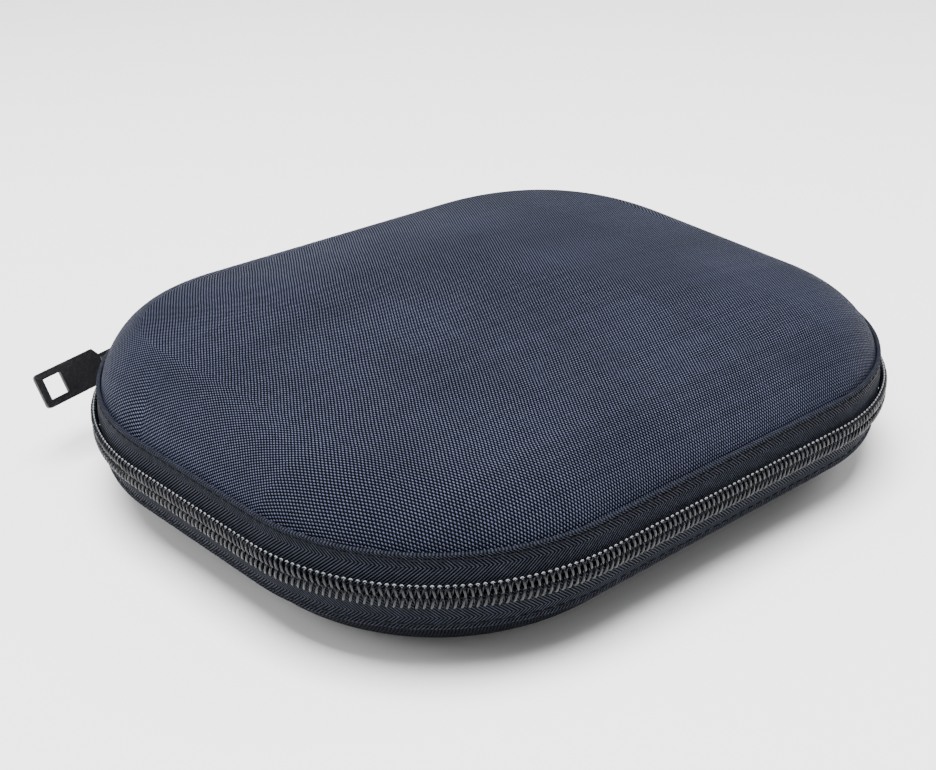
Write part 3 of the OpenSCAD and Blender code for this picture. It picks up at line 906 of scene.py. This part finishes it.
def net():
    """Knitted net: staggered rows of round holes between flat yarns."""
    grid = Grid()
    p, hole, thick, columns = 2.6, 0.9, 0.34, 44
    z0 = MID + POCKET_Z + 0.12
    ring = [(-1, -1), (0, -1), (1, -1), (1, 0), (1, 1), (0, 1), (-1, 1), (-1, 0)]
    turn = [math.atan2(b, a) for a, b in ring]
    found = {}

    def point(x, y, top):
        key = (round(x, 3), round(y, 3), top)
        if key not in found:
            found[key] = len(grid.verts)
            grid.verts.append((x, y, z0 + (thick if top else 0.0) - sag(x, y)))
        return found[key]

    rows = int(90 / p) + 2
    for j in range(rows):
        y = POCKET_Y - 0.4 - p / 2 - j * p
        for i in range(-columns, columns + 1):
            x = i * p + (p / 2 if j % 2 else 0.0)
            corners = [(x + a * p / 2, y + b * p / 2) for a, b in ring]
            if not all(inside_plan(cx, cy, NET_IN + 0.2) for cx, cy in corners):
                continue
            holes = [(x + hole * math.cos(w), y + hole * 1.06 * math.sin(w)) for w in turn]
            for k in range(8):
                l = (k + 1) % 8
                for top in (False, True):
                    ids = [point(*corners[k], top), point(*corners[l], top),
                           point(*holes[l], top), point(*holes[k], top)]
                    grid.faces.append(ids if top else ids[::-1])
                    grid.uvs.append([corners[k], corners[l], holes[l], holes[k]])
                grid.faces.append([point(*holes[k], True), point(*holes[l], True),
                                   point(*holes[l], False), point(*holes[k], False)])
                grid.uvs.append([holes[k], holes[l], holes[l], holes[k]])
    # a rim wherever an edge of the top face has no neighbour
    edges = {(a, b): True for f in grid.faces for a, b in zip(f, f[1:] + f[:1])}
    back_of = {found[(x, y, True)]: i for (x, y, top), i in found.items() if not top}
    for a, b in edges:
        if (b, a) not in edges and a in back_of and b in back_of:
            grid.faces.append([b, a, back_of[a], back_of[b]])
            grid.uvs.append([(0, 0)] * 4)
    return grid


net_piece = net().finish("net_pocket_net", net_mat, 45)
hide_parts("net_pocket")
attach(net_piece, "lid")

# the sewn edge of the pocket, from its left end round the front to its right end
SEWN = [s for s in round_front(90.0) if spot(s, POCKET_IN)[1] < POCKET_Y - 0.2]
hem_grid = Grid()
strip(
    hem_grid,
    [(POCKET_IN + 1.1, 10.62), (POCKET_IN + 1.1, 11.05), (POCKET_IN + 3.6, 11.15),
     (POCKET_IN + 3.9, 10.95), (POCKET_IN + 3.9, 10.7), (POCKET_IN + 3.6, 10.5)],
    SEWN, 1,
)
hem = hem_grid.finish("pocket_hem", binding_mat, 50)
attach(hem, "lid")
ring_piece(
    "pocket_edge_trim", "pocket_trim", "lid", binding_mat, 1,
    [(POCKET_IN, 10.5), (POCKET_IN, 11.1), (POCKET_IN + 0.25, 11.3), (POCKET_IN + 0.75, 11.3),
     (POCKET_IN + 1.0, 11.1), (POCKET_IN + 1.0, 10.5), (POCKET_IN + 0.75, 10.3),
     (POCKET_IN + 0.25, 10.3)],
    SEWN, False,
)


def elastic():
    """The gathered band along the pocket's mouth."""
    grid = Grid()
    reach = 0.0
    while inside_plan(reach, POCKET_Y + 1.6, POCKET_IN + 0.1):
        reach += 0.1
    n = int(2 * reach / 0.5)
    rows, uvs = [], []
    for i in range(n + 1):
        x = -reach + 2 * reach * i / n
        pucker = 0.14 * math.sin(2 * math.pi * x / 3.1) + 0.06 * math.sin(2 * math.pi * x / 1.3)
        y0, y1 = POCKET_Y - 0.2, POCKET_Y + 3.0 + 0.08 * math.sin(2 * math.pi * x / 3.1)
        drop = sag(x, POCKET_Y) * 0.5
        z0, z1 = MID + 10.2 - drop + pucker * 0.5, MID + 11.4 - drop + pucker * 0.5
        row = [(x, y0, z0 + 0.2), (x, y0 + 0.25, z0), (x, y1 - 0.3, z0), (x, y1, z0 + 0.35),
               (x, y1, z1 - 0.35), (x, y1 - 0.3, z1), (x, y0 + 0.25, z1), (x, y0, z1 - 0.2)]
        rows.append(row)
        uvs.append([(x, v) for v in (0, 0.3, 2.8, 3.2, 3.9, 4.3, 6.8, 7.1, 7.5)])
    base = grid.rows(rows, uvs, closed_row=True, flip=True)
    grid.cap(range(base, base + 8), (0, 0), flip=False)
    grid.cap(range(base + n * 8, base + n * 8 + 8), (0, 0), flip=True)
    return grid


band = elastic().finish("pocket_elastic_band", elastic_mat, 50)
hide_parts("pocket_elastic")
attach(band, "lid")


# ---------------------------------------------------------------- slider and pull
def finish_cad(name, material, bevel, segments=3):
    """A CAD node kept as it is, with softened edges and a material."""
    o = nodes[name]
    o.data.materials.clear()
    o.data.materials.append(material)
    b = o.modifiers.new("soft_edges", "BEVEL")
    b.width = bevel / 1000
    b.segments = segments
    b.limit_method = "ANGLE"
    b.angle_limit = math.radians(35)
    b.harden_normals = False


finish_cad("slider_body", enamel, 0.28)
finish_cad("slider_bridge", enamel, 0.25)
finish_cad("slider_lock_spring", steel, 0.06, 2)
finish_cad("pull_tab", pull_mat, 0.22)

# ---------------------------------------------------------------- floor and light
floor_mat = Mat("pale_floor")
speck = floor_mat.noise(floor_mat.place(), 6.0, 3.0)
floor_mat.surface(
    floor_mat.mix(speck, (0.88, 0.88, 0.885), (0.92, 0.92, 0.92)), 0.75, specular_ior_level=0.2
)
FLOOR, UNDER = 6000, -0.05
floor_verts = [(x * FLOOR, y * FLOOR, UNDER) for x, y in ((-1, -1), (1, -1), (1, 1), (-1, 1))]
floor = make("floor", floor_verts, [[0, 1, 2, 3]], None, floor_mat.m)

world = bpy.data.worlds.new("studio")
bpy.context.scene.world = world
world.use_nodes = True
world.node_tree.nodes["Background"].inputs[0].default_value = (1.0, 1.0, 1.0, 1.0)
world.node_tree.nodes["Background"].inputs[1].default_value = 0.58


def softbox(name, place, target, size, power):
    """A rectangular studio light that faces its target."""
    data = bpy.data.lights.new(name, "AREA")
    data.shape = "RECTANGLE"
    data.size, data.size_y = size
    data.energy = power
    o = bpy.data.objects.new(name, data)
    bpy.context.scene.collection.objects.link(o)
    o.location = place
    o.rotation_euler = (Vector(target) - Vector(place)).to_track_quat("-Z", "Y").to_euler()


softbox("key", (-0.15, -0.05, 1.35), (0, 0, 0.03), (0.9, 0.9), 68.0)
softbox("right", (1.1, -0.3, 0.9), (0, 0, 0.02), (0.4, 0.6), 5.0)
softbox("left", (-1.0, 0.3, 0.8), (0, 0, 0.02), (0.5, 0.6), 6.0)
